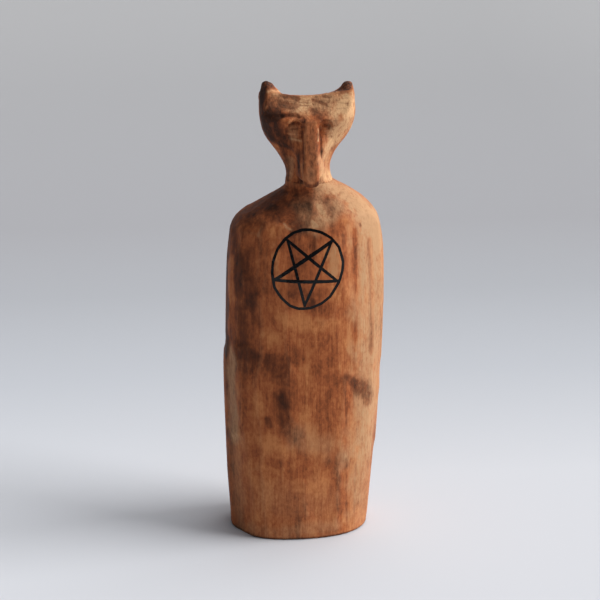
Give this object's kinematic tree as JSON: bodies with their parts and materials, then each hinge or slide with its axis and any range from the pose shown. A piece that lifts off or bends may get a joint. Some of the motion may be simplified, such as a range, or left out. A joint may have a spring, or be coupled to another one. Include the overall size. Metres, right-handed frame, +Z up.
{
  "type": "carved wooden figure",
  "caption": "Standing hand-carved wooden demon with an animal's head, small dark horns and a star in a ring inlaid in its chest, for a shelf.",
  "frame": {"origin": "centre of the foot's footprint, on the surface that the figure stands on", "axes": "+Z up through the neck and the head, -Y the way the face and the chest look, +X the figure's own left"},
  "size_m": [0.07, 0.0491, 0.2017],
  "materials": {
    "body_wood": "brown stained softwood, knife-carved and waxed, with vertical grain",
    "head_wood": "brown stained softwood, knife-carved and waxed, with a worn pale forehead",
    "horn_wood": "dark stained wood, satin",
    "enamel": "black gloss enamel paint that fills a carved groove"
  },
  "bodies": {
    "root": {"body": "body_wood", "head": "head_wood", "left_horn": "horn_wood", "right_horn": "horn_wood", "chest_ring": "enamel", "chest_star": "enamel"}
  },
  "joints": []
}
